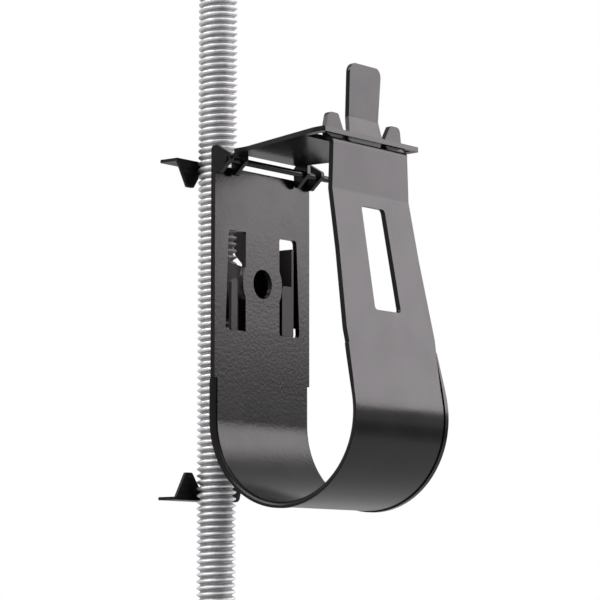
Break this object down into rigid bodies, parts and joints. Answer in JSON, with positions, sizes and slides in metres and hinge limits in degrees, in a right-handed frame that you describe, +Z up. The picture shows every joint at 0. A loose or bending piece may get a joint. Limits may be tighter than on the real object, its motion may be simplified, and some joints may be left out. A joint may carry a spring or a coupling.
{
  "type": "pipe hanger",
  "caption": "Loop pipe hanger of bent black strap with a hinged latching gate, snapped onto a vertical threaded rod by a spring clip at its back",
  "frame": {"origin": "middle of the top end of the threaded rod", "axes": "+Z up along the rod, +X along the strap's width, -Y towards the loop that carries the pipe"},
  "size_m": [0.0405, 0.0663, 0.159],
  "materials": {
    "black_coat": "semi-gloss",
    "spring_steel": "satin",
    "zinc_rod": "zinc plated"
  },
  "bodies": {
    "hanger": {"hanger_strap": "black_coat", "hinge_pin": "black_coat", "rod_clip": "spring_steel", "threaded_rod": "zinc_rod"},
    "gate": {"gate": "black_coat"}
  },
  "joints": [
    {"name": "gate_hinge", "type": "hinge", "parent": "hanger", "child": "gate", "pos_m": [0, -0.0174, -0.0492], "axis": [-1, 0, 0], "range_deg": [0, 70]}
  ]
}
